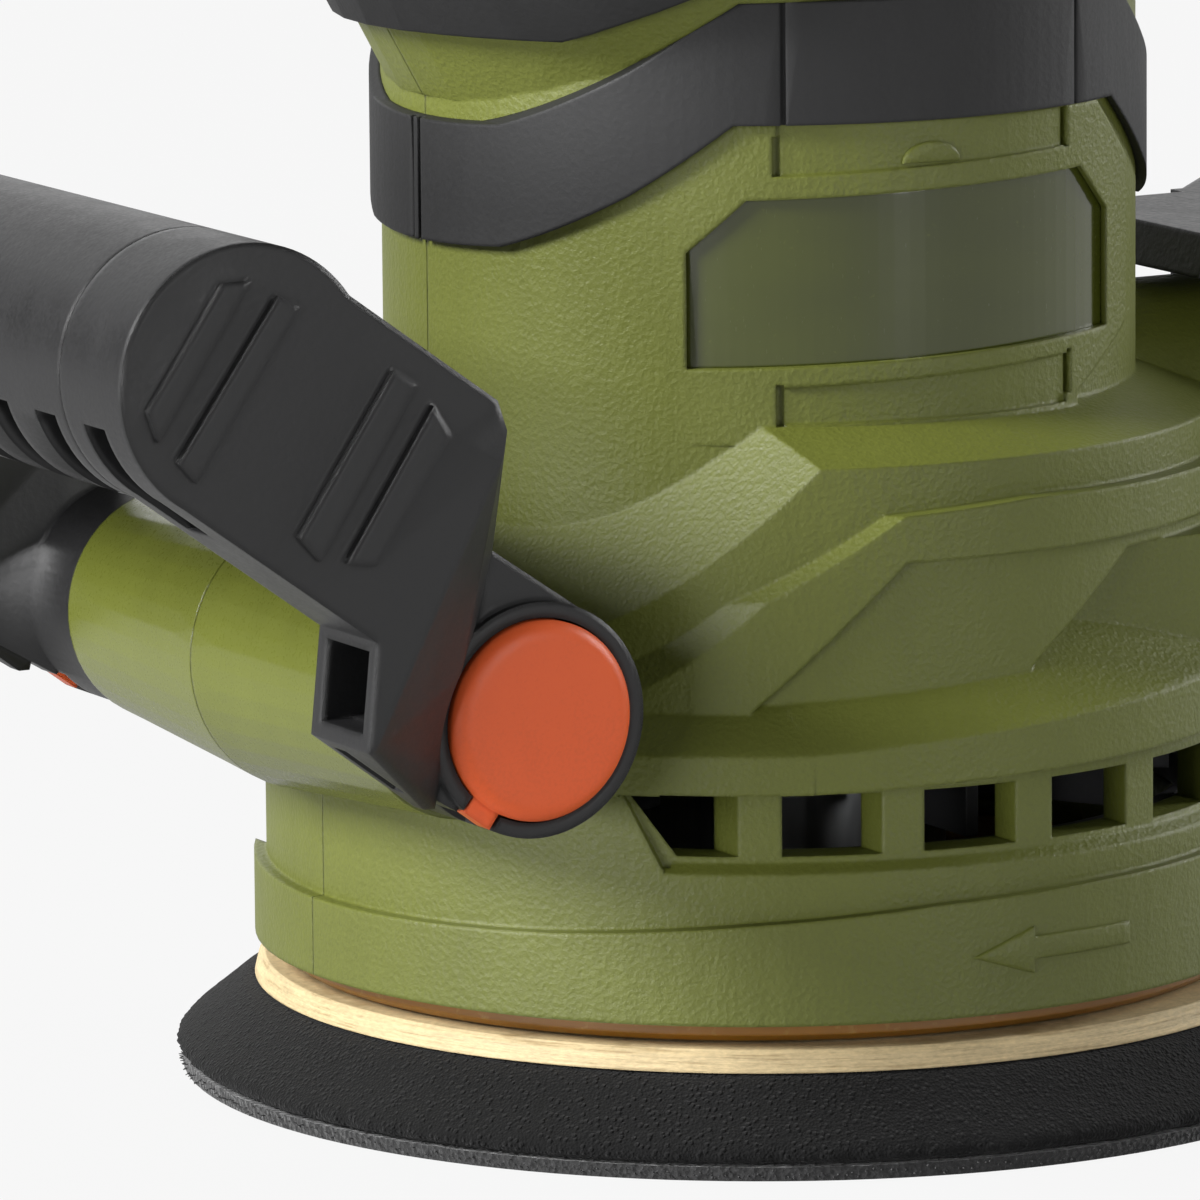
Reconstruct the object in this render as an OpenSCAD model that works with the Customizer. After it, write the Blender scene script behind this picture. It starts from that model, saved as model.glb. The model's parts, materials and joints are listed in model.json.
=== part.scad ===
// Random-orbit sander with a swinging bail handle, a rear handle and a dust canister.
// Millimetres, +Z up. The origin is on the motor axis, in the plane of the pad's sanding face.
// -X is the side of the bail handle, +X the rear handle and the dust canister, -Y the near side.

/* [Pad] */
// Diameter of the round foam pad
pad_d = 125; // [123:1:127]
// Offset of the pad axis from the motor axis, half the orbit
orbit = 1.25; // [1:0.25:1.5]
// Number of dust holes through the pad
dust_holes = 8; // [6:1:8]
// Diameter of each dust hole
dust_hole_d = 9; // [8:0.5:10]

/* [Housing] */
// Diameter of the skirt's lower band
skirt_d = 105.6; // [105:0.2:107]
// Diameter of the motor column
column_d = 77.5; // [77:0.5:79]
// Wall thickness of the mouldings
wall = 2.5; // [2:0.1:2.8]
// Number of vent windows in each side of the skirt
vents = 7; // [5:1:7]
// Height of the vent windows
vent_h = 6.2; // [5.6:0.1:6.4]
// Diameter of the rear handle's arm
arm_d = 33; // [31:0.5:34]

/* [Bail handle] */
// Diameter of the bail's bar
bar_d = 26.8; // [25:0.2:27]
// Width of the bail over its two end plates
bail_w = 111; // [109:1:113]
// Diameter of the black hub ring round each lock button
hub_d = 23.4; // [23:0.1:24]
// Diameter of the orange lock buttons
button_d = 19.9; // [19:0.1:20]
// Diameter of the housing's cross tube at the parting line
tube_d = 28.8; // [28:0.2:29.4]

/* [Dust canister] */
// Outer diameter of the spigot on the dust duct
spigot_d = 28; // [27:0.2:29]
// Width of the canister
can_w = 58; // [52:1:60]

/* [Motor] */
// Diameter of the field core
field_d = 68; // [66:1:69]
// Diameter of the armature core
armature_d = 39; // [37:0.5:39.4]
// Number of commutator bars
bars = 20; // [16:2:24]

/* [Hidden] */
$fn = 64;
eps = 0.01;

// Heights of the stack from the sanding face up
hook_t = 1.4;
foam_top = 9.2;
plate_top = 11.4;
skirt_z = 13.8;
ledge_z = 20.5;
vent_z = 30.5;
recess_z = 28.8;
rim_top = 41.6;
shelf_z = 46.4;
deck_z = 47.5;
step1_z = 68.8;
shoulder_z = 72;
column_top = 112;

skirt_r = skirt_d / 2;
column_r = column_d / 2;
rim_r = skirt_r + 0.5;
deck_r = 47;
band_r = 49;
seam = 0.06;
arm_r = arm_d / 2;
arm_z = 138;
arm_x = 112;
duct_r = 21;
duct_end = 60;
duct_z = 56.5;
dial_x = 44;
dial_z = 146;
dial_r = 12;
lock_on_x = 72;
head_x = -6;

// Green and black plastics and the other finishes
olive = [0.36, 0.40, 0.16];
black = [0.12, 0.12, 0.13];
orange = [0.85, 0.34, 0.16];
steel = [0.72, 0.73, 0.75];
copper = [0.75, 0.42, 0.22];
laminate = [0.86, 0.77, 0.55];

// Bail: pivot and bar centre in the XZ plane
pivot_x = -51.9;
pivot_z = 47.4;
bar_x = -88;
bar_z = 84.8;
hub_face = 45.5;
hub_inner = 32.3;
boss_face = 32;

// ---------- small helpers ----------

module along_y(x, z, y0, y1, r, r2 = -1)
  translate([x, y0, z]) rotate([-90, 0, 0]) cylinder(r1 = r, r2 = r2 < 0 ? r : r2, h = y1 - y0);

module ring(r, bore, z0, z1)
  difference() {
    translate([0, 0, z0]) cylinder(r = r, h = z1 - z0);
    translate([0, 0, z0 - 1]) cylinder(r = bore, h = z1 - z0 + 2);
  }

// A rod between two points of the XZ plane, with its own radius at each end
module rod_xz(x0, z0, r0, x1, z1, r1) {
  len = norm([x1 - x0, z1 - z0]);
  translate([x0, 0, z0]) rotate([0, 90 - atan2(z1 - z0, x1 - x0), 0]) cylinder(r1 = r0, r2 = r1, h = len);
}

// A flat outline in XZ, pushed along Y from y0 to y1
module slab_xz(points, y0, y1)
  translate([0, y1, 0]) rotate([90, 0, 0]) linear_extrude(y1 - y0) polygon(points);

// Local frame of the dust duct: local z runs along +X from the duct's end face, local x is up
module at_tail() translate([duct_end, 0, duct_z]) mirror([1, 0, 0]) rotate([0, -90, 0]) children();

// A coil spring swept as one closed tube along +Z
function coil_frame(i, sides, turns, step, r, h, wire) = let (a = i * step, z = h * a / (360 * turns))
  [for (k = [0 : sides - 1]) let (b = 360 * k / sides)
    [(r + wire * cos(b)) * cos(a), (r + wire * cos(b)) * sin(a), z + wire * sin(b)]];
module coil_spring(r, h, wire, turns) {
  step = 30;
  sides = 6;
  n = turns * 360 / step;
  pts = [for (i = [0 : n]) each coil_frame(i, sides, turns, step, r, h, wire)];
  walls = [for (i = [0 : n - 1]) for (k = [0 : sides - 1])
    [i * sides + k, (i + 1) * sides + k, (i + 1) * sides + (k + 1) % sides, i * sides + (k + 1) % sides]];
  caps = [[for (k = [0 : sides - 1]) k], [for (k = [sides - 1 : -1 : 0]) n * sides + k]];
  polyhedron(points = pts, faces = concat(walls, caps), convexity = 8);
}

// Races and balls of one deep-groove bearing, as separate rings
module race(r, bore, z0, h, groove_r, ball_r)
  difference() {
    ring(r, bore, z0, z0 + h);
    translate([0, 0, z0 + h / 2]) rotate_extrude() translate([groove_r, 0]) circle(r = ball_r + 0.06, $fn = 24);
  }
module balls(n, pitch_r, z0, h, ball_r) for (i = [0 : n - 1])
    rotate([0, 0, 360 * i / n]) translate([pitch_r, 0, z0 + h / 2]) sphere(r = ball_r, $fn = 24);

// ---------- housing ----------

// Everything turned on the motor axis, grown inward by g
module turned_body(g)
  rotate_extrude($fn = 96) polygon([[0, skirt_z - 2 * g], [skirt_r - g, skirt_z - 2 * g], [skirt_r - g, ledge_z],
    [skirt_r - 1.3 - g, ledge_z + 1], [skirt_r - 1.3 - g, rim_top - 0.4 - g], [46.5 - g, shelf_z - g],
    [0, shelf_z - g]]);
// Lower band of the skirt: its upper edge climbs toward the rear
module skirt_band() intersection() {
    ring(skirt_r, skirt_r - 2, 18, 28);
    slab_xz([[-60, 10], [-60, 21.4], [-41.6, 22.6], [-27.2, 24], [-9.2, 25.4], [10, 26], [60, 26.6], [60, 10]], -60, 60);
  }
// Rim over the vents with the sloping shelf above it, level toward the bail and climbing toward the rear
rim_turn = 4.3;
module rim_disc() rotate_extrude($fn = 96) polygon([[0, 34], [rim_r, 34], [rim_r, rim_top - 0.5], [rim_r - 0.5, rim_top],
    [41, rim_top + 9.2], [0, rim_top + 9.2]]);
module rim_solid() {
  intersection() { rim_disc(); translate([-100, -60, 0]) cube([78, 120, 60]); }
  intersection() {
    translate([-22, 0, rim_top]) rotate([0, -rim_turn, 0]) translate([22, 0, -rim_top]) rim_disc();
    translate([-22 - eps, -60, 0]) cube([100, 120, 80]);
  }
}
module below_rim(d) slab_xz([[-70, 0], [-70, 37.2 - d], [-22, 37.2 - d], [23, 38.9 - d], [70, 40.6 - d], [70, 0]], -70, 70);
module rim() difference() {
    rim_solid();
    below_rim(0.4);
    translate([0, 0, 20]) cylinder(r = 46, h = 40);
    translate([0, 0, 20]) cylinder(r = 49.2, h = 18.6);
  }
module deck_turned(g)
  rotate_extrude($fn = 96) polygon([[0, rim_top], [deck_r - g, rim_top], [deck_r - g, step1_z - g],
    [column_r - g, shoulder_z - g], [0, shoulder_z - g]]);
// Raised band round the deck with a stepped panel let into it. Its upper edge falls away in two planes
band_points = [[-60, 30], [-44, 42.5], [-34.6, 49.7], [-24.9, 56.5], [-14.5, 63.8], [2.9, 64.9], [60, 64.3], [60, 30]];
panel_points = [[-33, 40], [-25.9, 44.2], [-18.5, 51.6], [-10.7, 59.4], [60, 60], [60, 40]];
module tread_cut(p, turn, tilt) translate(p) rotate([0, 0, turn]) rotate([0, tilt, 0]) translate([-60, -60, 0]) cube([120, 120, 60]);
module band() difference() {
    intersection() { translate([0, 0, rim_top]) cylinder(r = band_r, h = 26); slab_xz(band_points, -60, 60); }
    difference() { slab_xz(panel_points, -60, 60); translate([0, 0, 30]) cylinder(r = band_r - 1, h = 40); }
    for (s = [0, 1]) mirror([0, s, 0]) {
      tread_cut([-26.5, -38.8, 55.3], -155.9, 39.5);
      tread_cut([-26.5, -38.8, 55.3], -151.3, 59.8);
    }
  }
// Deep flat-bottomed panel in each side of the deck, down to the shelf
inner_points = [[-4, 40], [4.5, 48.4], [16.6, 58.2], [40, 58.6], [40, 40]];
floor_y = 42.5;
module deep_cut() for (s = [-1, 1]) difference() {
    slab_xz(inner_points, s < 0 ? -60 : floor_y, s < 0 ? -floor_y : 60);
    rim_solid();
  }
// Flat flank behind each deep panel, running back to the duct
module flank() for (s = [-1, 1]) mirror([0, s < 0 ? 0 : 1, 0])
    translate([0, 0, 44]) linear_extrude(14.2) polygon([[15, -38], [15, -floor_y], [28.8, -floor_y], [39, -31], [36, -24]]);
module deep_backing(side) intersection() {
    translate([-9, side < 0 ? -46 : floor_y - 2.2, 44]) cube([35, 48.2 - floor_y, 16.5]);
    body_shell(side, 0.8);
  }

// The deck falls away toward the bail in planes, one on each side
module facet_cut(side, g)
  translate([-20, side * 34, 71]) rotate([0, 0, -side * 21.3]) rotate([0, -53.3, 0])
    translate([-120, -120, -g]) cube([240, 240, 120]);
module deck(side, g)
  intersection() {
    difference() { deck_turned(g); facet_cut(side, g); }
    translate([-100, side < 0 ? -100 : -eps, 0]) cube([200, 100 + eps, 100]);
  }

module column(g) translate([0, 0, 40]) cylinder(r = column_r - g, h = column_top - 40 + 4);
module head(g) hull() {
    translate([-9, 0, 103]) cylinder(r = 30 - g, h = 1, $fn = 32);
    translate([-14, 0, 110]) cylinder(r = 29 - g, h = 1, $fn = 32);
    translate([0, 0, 114.5]) cylinder(r = column_r - g, h = 1, $fn = 40);
    translate([head_x, 0, 122]) cylinder(r = 42.5 - g, h = 10, $fn = 40);
    translate([head_x + 1, 0, 142 - g]) cylinder(r = 37 - g, h = 1, $fn = 40);
    translate([head_x + 3, 0, 151 - g]) cylinder(r = 24 - g, h = 1, $fn = 32);
  }
module rear_arm(g) {
  rod_xz(0, arm_z, arm_r - g, arm_x, arm_z, arm_r - g);
  translate([arm_x, 0, arm_z]) sphere(r = arm_r - g);
}
module duct(g) rod_xz(g > 0 ? 41.2 : 30, duct_z, duct_r - g, duct_end - g, duct_z, duct_r - g);
// Cross tube on the bail's axis, tapering from the parting line to both ends
tube_r = tube_d / 2;
module tube_cones(g, reach) for (s = [-1, 1])
    along_y(pivot_x, pivot_z, s < 0 ? -reach : -eps, s < 0 ? eps : reach, tube_r - g - (s < 0 ? reach * 0.0688 : 0),
      tube_r - g - (s < 0 ? 0 : reach * 0.0688));
module cross_tube() difference() {
    tube_cones(0, boss_face);
    translate([0, 0, 10]) cylinder(r = 43.6, h = 60);
  }
module body_shell(side, g) {
  turned_body(g);
  deck(side, g);
  column(g);
  head(g);
  rear_arm(g);
  duct(g);
}

// Place something on the skirt at an angle from -Y toward +X
module on_skirt(angle) rotate([0, 0, angle]) children();
vent_pitch = 16.45;
post_first = -30.2;
post_half = 2.45;
vent_start = -41;
vent_end = post_first + (vents - 2) * vent_pitch + post_half + 8.7;
post_r = 50.3;
// The window openings run straight along Y, as the moulds part
module vent_window(k) {
  a = post_first + (k - 1) * vent_pitch + post_half;
  b = post_first + k * vent_pitch - post_half;
  top = vent_z + vent_h;
  x0 = post_r * sin(k == 0 ? vent_start + 1.3 : a);
  x1 = post_r * sin(k == vents - 1 ? vent_end - 1.3 : b);
  slab_xz([[x0, vent_z], [x1, vent_z], [x1 + (k == vents - 1 ? 3.2 : 0), top], [x0 - (k == 0 ? 3.6 : 0), top]], -60, -9);
}
module recess_end(a, s) intersection() {
    on_skirt(a) translate([0, -skirt_r, 0]) rotate([90, 0, 0]) translate([0, 0, -2.5]) linear_extrude(9)
      polygon([[-s * 0.2, recess_z + 0.6], [0.6 * s, recess_z + 0.6], [0.6 * s, 41], [-s * 6.4, 41]]);
    below_rim(0.15);
  }
module recess_cut() {
  recess_end(vent_start, 1);
  recess_end(vent_end, -1);
  intersection() {
    on_skirt(vent_start - 90) rotate_extrude(angle = vent_end - vent_start, $fn = 96)
      polygon([[skirt_r - 1.2, recess_z], [post_r, recess_z + 1.1], [post_r, 44], [60, 44], [60, recess_z]]);
    below_rim(0);
  }
}
// Wall that deepens the windows' sides
module vent_backing() on_skirt(vent_start - 92) rotate_extrude(angle = vent_end - vent_start + 4, $fn = 96)
    translate([46.2, 29.4]) square([3.2, 8.2]);
screw_places = [[-34, 134], [14, 134], [104, 140], [51.5, 70.5], [-41, 22.2], [43, 22.2]];
// Screw bosses and the upper bearing plate run into the side walls
module screw_bosses(side) intersection() {
    union() {
      for (p = screw_places) along_y(p[0], p[1], -50, 50, p[1] < 30 ? 4.2 : 4.6);
      upper_plate();
    }
    body_shell(side, 1);
  }
plate_screw_r = 41.4;
module around4(r) for (a = [45 : 90 : 315]) rotate([0, 0, a]) translate([r, 0, 0]) children();
module support_rings() {
  ring(column_r - wall + 0.3, field_d / 2, 69.6, 72.6);
  ring(column_r - wall + 0.3, field_d / 2, 92, 95);
}
module upper_plate() difference() {
    translate([0, 0, 120]) cylinder(r = 50, h = 8);
    translate([0, 0, 119]) cylinder(r = 13.5, h = 10);
    for (a = [30, 150, 210, 330]) rotate([0, 0, a]) translate([24, 0, 119]) cylinder(r = 6, h = 10);
  }
// Ledge that carries the bearing plate inside the deck
module plate_ledge() ring(deck_r - wall + 0.5, 40, deck_z - 3, deck_z - 0.5);
// Lugs and ribs inside the top arm that carry the dial, the board and the switch
module arm_ribs() for (s = [-1, 1]) {
    along_y(dial_x, dial_z, s < 0 ? -12.5 : 4.2, s < 0 ? -4.2 : 12.5, 4);
    translate([26, s < 0 ? -12 : 7.5, 127.6]) cube([24, 4.5, 1.9]);
    for (x = [58, 83]) translate([x, s < 0 ? -12.5 : 8, 135]) cube([3, 4.5, 11]);
  }
// Raised panel on the column: flush with it toward the bail, proud of it toward the rear
raised_points = [[-30, 70], [16, 70], [16, 73], [25.3, 79], [25.3, 95.5], [18.5, 103], [-30, 104]];
badge_points = [[-25.3, 77.6], [21, 79], [21, 91], [16.5, 95.8], [-20.5, 94.6], [-25.3, 89.3]];
strip_low = [[-17.9, 72.1], [14.3, 72.1], [14.3, 77.1], [-17.9, 75.8]];
strip_high = [[-17.9, 97], [14.3, 98.2], [14.3, 102.2], [-17.9, 102.2]];
module panel_ring(r, bore, points) for (s = [-1, 1]) intersection() {
    translate([0.88, s * 0.82, 0]) ring(r, bore, 68, 105);
    slab_xz(points, s < 0 ? -60 : 0, s < 0 ? 0 : 60);
  }
module raised_panel() panel_ring(column_r, column_r - 2.2, raised_points);
// Room for the rubber band in the raised panel and in the flare of the head
module band_room() intersection() { ring(column_r + 6, column_r - 0.03, 86, 118); band_slab(0.03); }
module badge_recess() {
  panel_ring(column_r + 5, column_r - 1.7, badge_points);
  panel_ring(column_r + 5, column_r - 0.45, strip_low);
  panel_ring(column_r + 5, column_r - 0.45, strip_high);
}

// Short slots at the ends of the strips above and below the badge panel
module panel_slots(side) mirror([0, side < 0 ? 0 : 1, 0])
  for (p = [[-27.4, 97, 101], [21, 98, 102], [-27, 71.9, 76.1], [21.6, 73, 77.5]])
    on_skirt(p[0]) translate([-0.4, -column_r - 2, p[1]]) cube([0.8, 2.6, p[2] - p[1]]);

module housing_half(side) difference() {
    intersection() {
      union() {
        difference() {
          union() { body_shell(side, 0); skirt_band(); band(); flank(); rim(); raised_panel(); cross_tube(); }
          difference() { body_shell(side, wall); cross_tube(); }
        }
        support_rings();
        plate_ledge();
        deep_backing(side);
        mirror([0, side < 0 ? 0 : 1, 0]) vent_backing();
        arm_ribs();
        screw_bosses(side);
        rod_xz(arm_x, arm_z, 10.5, 127.5, arm_z, 10.5);
        at_tail() translate([0, 0, -3]) cylinder(r = spigot_d / 2, h = 19);
      }
      translate([-200, side < 0 ? -100 : seam, 0]) cube([400, 100 - seam, 200]);
    }
    for (k = [0 : vents - 1]) mirror([0, side < 0 ? 0 : 1, 0]) vent_window(k);
    deep_cut();
    mirror([0, side < 0 ? 0 : 1, 0]) recess_cut();
    // hollow, stem bores, spring wells and lock-ring seats of the cross tube
    tube_cones(wall, 17);
    for (s = [-1, 1]) {
      along_y(pivot_x, pivot_z, s < 0 ? -40 : 20, s < 0 ? -20 : 40, 4.3);
      along_y(pivot_x, pivot_z, s < 0 ? -40 : 28, s < 0 ? -28 : 40, 8.6);
      along_y(pivot_x, pivot_z, s < 0 ? -60 : boss_face, s < 0 ? -boss_face : 60, 12.4);
    }
    badge_recess();
    band_room();
    panel_slots(side);
    around4(plate_screw_r) translate([0, 0, deck_z - 5]) cylinder(r = 1.3, h = 6);
    for (p = screw_places) {
      along_y(p[0], p[1], -9, 60, 1.75);
      along_y(p[0], p[1], 10, 60, 3.7);
    }
    // slots for the trigger, the dial and the lock-on button, the gland's bore and the spigot's
    translate([53.5, -6.3, 110]) cube([37, 12.6, 18]);
    translate([31, -4, 140]) cube([26, 8, 30]);
    along_y(lock_on_x, arm_z, -40, -8, 4.2);
    along_y(dial_x, dial_z, -9, 9, 2.06);
    translate([arm_x + 4, 0, arm_z]) rotate([0, 90, 0]) cylinder(r = 7.6, h = 40);
    at_tail() translate([0, 0, -6]) cylinder(r = spigot_d / 2 - 2.4, h = 30);
  }
module near_housing_half() color(olive) housing_half(-1);
module far_housing_half() color(olive) housing_half(1);

// ---------- parts fixed to the housing ----------

// Band edge: low at the two ends, high over the badge panels
band_low = [[-42, 88], [-37.5, 89], [-30, 95], [-22, 102.2], [22, 102.2], [30, 95], [37.5, 89], [42, 88]];
band_w = 12.3;
module band_slab(g) slab_xz(concat([for (p = band_low) p - [0, g]], [for (i = [7 : -1 : 0]) band_low[i] + [0, band_w]]),
    -60, 60);
module rubber_band() color(black) difference() {
    intersection() {
      ring(column_r + 1.15, column_r, 86, 116);
      band_slab(0);
    }
    for (s = [0, 1], a = [-89, -26.4, 23.2]) mirror([0, s, 0])
      on_skirt(a) translate([-0.3, -column_r - 3, 80]) cube([0.6, 2.4, 60]);
  }

module top_grip() color(black) difference() {
    union() { head(-2); rod_xz(0, arm_z, arm_r + 1.8, arm_x - 6, arm_z, arm_r + 1.8); }
    head(0);
    rod_xz(-0.1, arm_z, arm_r, arm_x + 5, arm_z, arm_r);
    slab_xz([[-70, 90], [-70, 110.5], [-36, 110.5], [-6, 127], [30, 131], [130, 131], [130, 90]], -60, 60);
    translate([31, -4, 140]) cube([26, 8, 30]);
    along_y(lock_on_x, arm_z, -40, -8, 4.2);
  }

module badge_panel() color(olive) panel_ring(column_r - 0.9, column_r - 1.7, badge_points);

module housing_screws() color(steel) for (p = screw_places) difference() {
      union() { along_y(p[0], p[1], -8.5, 10.1, 1.65); along_y(p[0], p[1], 10, 12.6, 3.4); }
      translate([p[0] - 2.2, 11.6, p[1] - 0.4]) cube([4.4, 3, 0.8]);
      translate([p[0] - 0.4, 11.6, p[1] - 2.2]) cube([0.8, 3, 4.4]);
    }

gland_x = 119.6;
module cord_gland() color(black) translate([gland_x, 0, arm_z]) rotate([0, 90, 0]) difference() {
      union() {
        cylinder(r = 7.55, h = 8);
        translate([0, 0, 7.9]) cylinder(r = 9.4, h = 3);
        translate([0, 0, 10.8]) cylinder(r1 = 7.6, r2 = 6.4, h = 8.2);
      }
      translate([0, 0, -1]) cylinder(r = 3.8, h = 30);
    }

module pad_brake_ring() color([0.75, 0.5, 0.1])
  rotate_extrude() polygon([[46.5, plate_top + 0.4], [49.4, plate_top + 0.3], [skirt_r - wall, 12.4],
    [skirt_r - wall, 17], [46.5, 17]]);

module dust_shroud() color(black) {
  ring(skirt_r - 1.3 - wall, 43.6, 26.5, 28);
  ring(44.8, 43.6, 27.9, 30);
}

module bearing_plate() color(steel) difference() {
    union() {
      ring(43, 14, deck_z - 0.5, deck_z + 2.5);
      ring(18, 14, 45.2, 54.4);
      ring(18, 12.4, 54, 55.6);
      for (a = [0 : 60 : 300]) rotate([0, 0, a]) translate([17, -1.5, deck_z]) cube([24, 3, 4.5]);
    }
    for (a = [30 : 60 : 330]) rotate([0, 0, a]) translate([29, 0, 40]) cylinder(r = 7.5, h = 20);
    for (s = [-1, 1]) translate([-50, s < 0 ? -50 : 40.1, 40]) cube([100, 9.9, 20]);
    around4(plate_screw_r) translate([0, 0, 40]) cylinder(r = 1.7, h = 20);
  }
module bearing_plate_screws() color(steel) around4(plate_screw_r) difference() {
      union() {
        translate([0, 0, deck_z - 2.8]) cylinder(r = 1.28, h = 6);
        translate([0, 0, deck_z + 2.5]) cylinder(r = 2.9, h = 2);
      }
      translate([-1.8, -0.35, deck_z + 3.7]) cube([3.6, 0.7, 2]);
    }

module field_core() color(steel) difference() {
    ring(field_d / 2, armature_d / 2 + 0.8, 64, 97);
    for (s = [-1, 1]) translate([s * 28.5 - 4, -9, 60]) cube([8, 18, 40]);
  }
module field_windings() color(copper) for (s = [0, 1], z = [60.7, 100.3])
    rotate([0, 0, 20 + 180 * s]) rotate_extrude(angle = 140) translate([27.5, z]) circle(r = 3.25, $fn = 24);
module brush_holders() color([0.8, 0.65, 0.3]) for (s = [-1, 1]) difference() {
      translate([-5.5, s < 0 ? -35.7 : 12.6, 106]) cube([11, 23.1, 10]);
      translate([-3.6, s < 0 ? -34.2 : 12, 107.4]) cube([7.2, 22.2, 7.2]);
    }
module carbon_brushes() color([0.2, 0.2, 0.2]) for (s = [-1, 1])
    translate([-3.5, s < 0 ? -24 : 11.3, 107.5]) cube([7, 12.7, 7]);
module brush_springs() color(steel) for (s = [-1, 1])
    translate([0, s * 24, 111]) rotate([-s * 90, 0, 0]) translate([0, 0, 0.5]) coil_spring(2.6, 9, 0.4, 5);

module upper_bearing_outer() color(steel) race(11, 8.9, 120.5, 7, 7.75, 1.9);
module upper_bearing_inner() color(steel) race(6.6, 4, 120.5, 7, 7.75, 1.9);
module upper_bearing_balls() color(steel) balls(8, 7.75, 120.5, 7, 1.85);
module upper_bearing_seat() color(black) ring(13.5, 11, 120.2, 127.8);
module lower_bearing_outer() color(steel) race(14, 11.6, 46, 8, 10.3, 2.2);
module lower_bearing_inner() color(steel) race(9, 6, 46, 8, 10.3, 2.2);
module lower_bearing_balls() color(steel) balls(9, 10.3, 46, 8, 2.15);

// Flanged bush in each hub boss: the bail turns on it, and its face has the lock notches
module lock_rings() color(black) for (s = [-1, 1]) difference() {
      union() {
        along_y(pivot_x, pivot_z, s < 0 ? -31.9 : 28.1, s < 0 ? -28.1 : 31.9, 8.55);
        along_y(pivot_x, pivot_z, s < 0 ? -36 : 31, s < 0 ? -31 : 36, 6.5);
      }
      along_y(pivot_x, pivot_z, -40, 40, 4.3);
      for (a = [0 : 30 : 330]) translate([pivot_x, 0, pivot_z]) rotate([0, a, 0])
        translate([7, s < 0 ? -32.4 : 31.3, -0.5]) cube([2, 1.1, 1]);
    }

module switch_body() color(black) {
  translate([56, -7.6, 134.6]) cube([32, 15.2, 11.4]);
  for (x = [60, 66, 78, 84]) translate([x - 1.2, -4, 146]) cube([2.4, 8, 2.6]);
}
module control_board() color([0.1, 0.35, 0.2]) {
  translate([24, -8.5, 129.5]) cube([27.5, 17, 1.6]);
  translate([27, -5, 131]) cube([7, 10, 3.2]);
  translate([36, 0, 131]) cylinder(r = 2.4, h = 2.4);
}

// ---------- rotor ----------

module motor_shaft() color(steel) {
  translate([0, 0, 28.2]) cylinder(r = 5, h = 90);
  translate([0, 0, 45.5]) cylinder(r = 6, h = 11.5);
  translate([0, 0, 118]) cylinder(r = 4, h = 10.5);
}
module armature_core() color(steel) difference() {
    ring(armature_d / 2, 5, 64, 97);
    for (a = [0 : 30 : 330]) rotate([0, 0, a]) translate([armature_d / 2, 0, 60]) cylinder(r = 1.6, h = 40);
  }
module armature_windings() color(copper) rotate_extrude() {
    polygon([[7, 58], [14, 57.5], [17.6, 60], [17.6, 64], [7, 64]]);
    polygon([[7, 97], [17.6, 97], [17.6, 100.5], [12.5, 103.4], [7, 103.4]]);
  }
module commutator() color(copper) difference() {
    union() { ring(11, 5, 104, 117); ring(12.4, 5, 103.5, 105); }
    for (i = [0 : bars - 1]) rotate([0, 0, 360 * i / bars]) translate([9.8, -0.2, 103]) cube([4, 0.4, 15]);
  }
fan_r = 42.5;
module blade(r0, r1, z0, h, lean) rotate([0, 0, lean]) translate([r0, -0.7, z0]) cube([r1 - r0, 1.4, h]);
module fan() color(black) {
  ring(9, 5, 34.2, 44.4);
  ring(fan_r, 8.5, 36.5, 38);
  for (i = [0 : 11]) rotate([0, 0, 30 * i]) {
    blade(22, fan_r - 0.3, 29.8, 6.9, 0);
    blade(15, fan_r - 0.3, 37.9, 5.7, 15);
  }
}
module counterweight() color(steel) difference() {
    union() {
      translate([orbit, 0, 15.6]) cylinder(r = 18, h = 14.6);
      cylinder(r = 9, h = 34);
      rotate([0, 0, 120]) rotate_extrude(angle = 120) translate([10, 17]) square([25, 7]);
    }
    translate([orbit, 0, 0]) cylinder(r = 15, h = 26);
    translate([orbit, 0, 20]) cylinder(r = 9.5, h = 8);
    translate([0, 0, 20]) cylinder(r = 5, h = 20);
  }
module pad_bearing_outer() color(steel) translate([orbit, 0, 0]) race(15, 12, 17, 9, 10.15, 2.8);

// ---------- pad ----------

module at_pad() translate([orbit, 0, 0]) children();
module dust_cuts(z0, h) for (i = [0 : dust_holes - 1])
    rotate([0, 0, 360 * (i + 0.5) / dust_holes]) translate([32.5, 0, z0]) cylinder(r = dust_hole_d / 2, h = h);
module pad_bearing_inner() color(steel) at_pad() race(8.3, 5, 17, 9, 10.15, 2.8);
module pad_bearing_balls() color(steel) at_pad() balls(8, 10.15, 17, 9, 2.75);
module pad_spindle() color(steel) at_pad() difference() {
    union() {
      translate([0, 0, plate_top]) cylinder(r = 16.5, h = 3.2);
      translate([0, 0, plate_top + 3]) cylinder(r = 7, h = 2.6);
      translate([0, 0, plate_top + 5]) cylinder(r = 5, h = 9.6);
      translate([0, 0, 26]) cylinder(r = 6.4, h = 1);
    }
    around4(12) translate([0, 0, 5]) cylinder(r = 1.7, h = 12);
  }
module backing_plate() color(laminate) at_pad() difference() {
    rotate_extrude($fn = 96) polygon([[0, foam_top], [54, foam_top], [53.6, 10.8], [52.9, plate_top], [0, plate_top]]);
    dust_cuts(5, 10);
    around4(12) translate([0, 0, 5]) cylinder(r = 1.8, h = 12);
  }
module foam_pad() color(black) at_pad() difference() {
    rotate_extrude($fn = 96) polygon([[0, hook_t], [pad_d / 2 - 0.9, hook_t], [pad_d / 2, 2.6], [54.6, 8.8],
      [54, foam_top], [0, foam_top]]);
    dust_cuts(0, 12);
    around4(12) translate([0, 0, 0]) cylinder(r = 4.4, h = 12);
  }
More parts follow.
